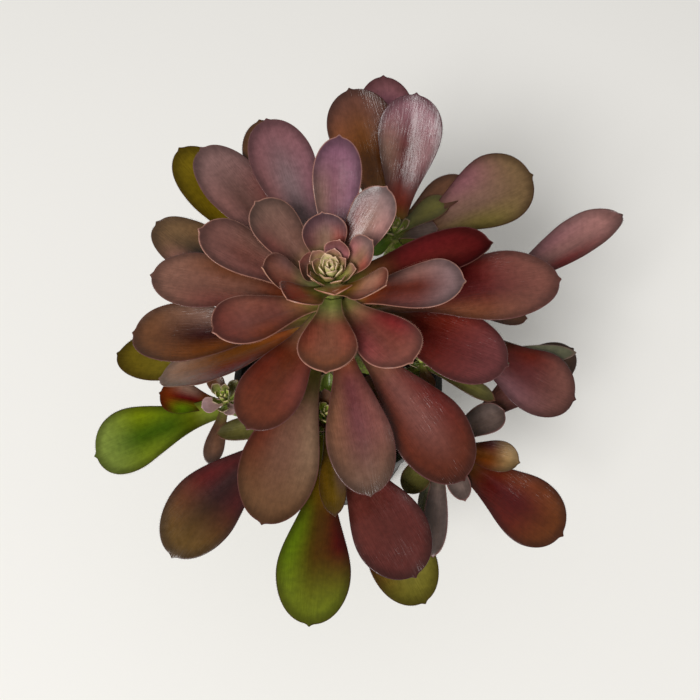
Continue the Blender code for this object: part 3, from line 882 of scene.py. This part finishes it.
# %% Cut the drain holes
def cut_holes(item, radius, circle, count):
    """Cut a ring of round holes through a piece's floor, and keep the result as its mesh."""
    cutter = bmesh.new()
    for index in range(count):
        turn = 2 * pi * (index + 0.5) / count
        bmesh.ops.create_cone(cutter, cap_ends=True, segments=40, radius1=radius * MM,
                              radius2=radius * MM, depth=0.01,
                              matrix=Matrix.Translation((circle * MM * cos(turn),
                                                         circle * MM * sin(turn), 0)))
    mesh = bpy.data.meshes.new("drills")
    cutter.to_mesh(mesh)
    cutter.free()
    drills = bpy.data.objects.new("drills", mesh)
    bpy.context.scene.collection.objects.link(drills)
    cut = item.modifiers.new("drain_holes", "BOOLEAN")
    cut.object = drills
    depsgraph = bpy.context.evaluated_depsgraph_get()
    whole = bpy.data.meshes.new_from_object(item.evaluated_get(depsgraph))
    item.modifiers.clear()
    sorted_whole = bmesh.new()
    sorted_whole.from_mesh(whole)
    in_order(sorted_whole).to_mesh(whole)
    sorted_whole.free()
    item.data = whole
    bpy.data.objects.remove(drills)


pot_piece = finish_piece("pot_shell", pot, moulded_polypropylene(), ["nursery_pot"])
cut_holes(pot_piece, 5.0, 36.0, 6)
pot_piece.data.set_sharp_from_angle(angle=radians(38))

# %% [markdown]
# ## The potting mix
# Peat-based mix is dark brown and crumbly, with white grains of perlite to let air in. The
# bulk is a spun solid whose top is roughened by noise at three sizes; loose crumbs and perlite
# are scattered over it, each only a few dozen faces, because there are hundreds.

# %% The peat's surface
soil_low, soil_high = (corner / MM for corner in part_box("potting_mix"))
soil_radius = wall_radius(soil_high.z) - WALL - 0.3


def soil_height(radius):
    """The mix mounds up by a few millimetres towards the stem."""
    return soil_high.z - 3.0 * smooth(10.0, soil_radius, radius)


steps = [(soil_radius - 0.9 * index, float(soil_height(soil_radius - 0.9 * index)))
         for index in range(int(soil_radius / 0.9))]
peat = spun([(0.0, soil_low.z), (wall_radius(soil_low.z) - WALL - 2.0, soil_low.z), *steps,
             (0.0, soil_high.z)], 220)
for vertex in peat.verts:
    flat = Vector((vertex.co.x, vertex.co.y))
    if vertex.co.z > soil_high.z - 4.0:
        lump = (noise.noise(Vector((*flat / 11.0, 1.0))) * 1.1
                + noise.noise(Vector((*flat / 3.6, 5.0))) * 1.3
                + noise.noise(Vector((*flat / 1.5, 9.0))) * 0.6)
        vertex.co.z += min(lump, 1.6) - 0.5


# %% Moist peat and perlite
def grainy(name, dark, light, scale, roughness, depth):
    """A rough, granular material with two tones; scale is in grains per metre."""
    material, tree, shader = new_material(name, roughness)
    place = add_node(tree, "ShaderNodeTexCoord")
    grain = add_node(tree, "ShaderNodeTexNoise", {"Vector": place.outputs["Object"],
                                                  "Scale": scale, "Detail": 6.0,
                                                  "Roughness": 0.7})
    share = add_node(tree, "ShaderNodeMapRange", {"Value": grain.outputs["Fac"],
                                                  "From Min": 0.38, "From Max": 0.66})
    colour = add_node(tree, "ShaderNodeMix", {"Factor": share.outputs["Result"],
                                              6: rgba(dark), 7: rgba(light)}, data_type="RGBA")
    tree.links.new(colour.outputs[2], shader.inputs["Base Color"])
    bump = add_node(tree, "ShaderNodeBump", {"Height": grain.outputs["Fac"], "Strength": 1.0,
                                             "Distance": depth})
    tree.links.new(bump.outputs["Normal"], shader.inputs["Normal"])
    shader.inputs["Specular IOR Level"].default_value = 0.25
    return material


# moist peat: fibres and dust under half a millimetre across
moist_peat = grainy("moist_peat", "#120b07", "#3d2a1c", 900.0, 0.95, 0.0012)
# perlite: puffed volcanic glass, chalk white with 0.4 mm pores
perlite = grainy("expanded_perlite", "#b9b4a8", "#f0eee8", 1400.0, 0.8, 0.0006)
finish_piece("peat_bulk", peat, moist_peat, ["potting_mix"])


# %% Scatter crumbs and perlite
noise.seed_set(5)      # noise_vector starts from the clock unless it is given a seed


def scatter(name, count, sizes, detail, material, seed):
    chance = random.Random(seed)
    grains = bmesh.new()
    for _ in range(count):
        turn = chance.uniform(0, 2 * pi)
        radius = 11.0 + (soil_radius - 15.0) * chance.random() ** 0.6
        size = sizes[0] + (sizes[1] - sizes[0]) * chance.random() ** 2.5
        place = Matrix.Translation((radius * cos(turn), radius * sin(turn),
                                    float(soil_height(radius)) + 0.25 * size))
        tilt = Matrix.Rotation(chance.uniform(0, pi), 4, (chance.random(), chance.random(), 1.0))
        squash = Matrix.Diagonal((1.0, chance.uniform(0.6, 1.0), chance.uniform(0.5, 0.8), 1.0))
        grain = bmesh.ops.create_icosphere(grains, subdivisions=detail, radius=size / 2,
                                           matrix=place @ tilt @ squash)
        for vertex in grain["verts"]:
            vertex.co += noise.noise_vector(vertex.co * 1.3) * 0.22 * size
    finish_piece(name, grains, material)


scatter("peat_crumbs", 700, (1.0, 4.2), 1, moist_peat, 11)
scatter("perlite_grains", 90, (1.2, 3.6), 2, perlite, 12)
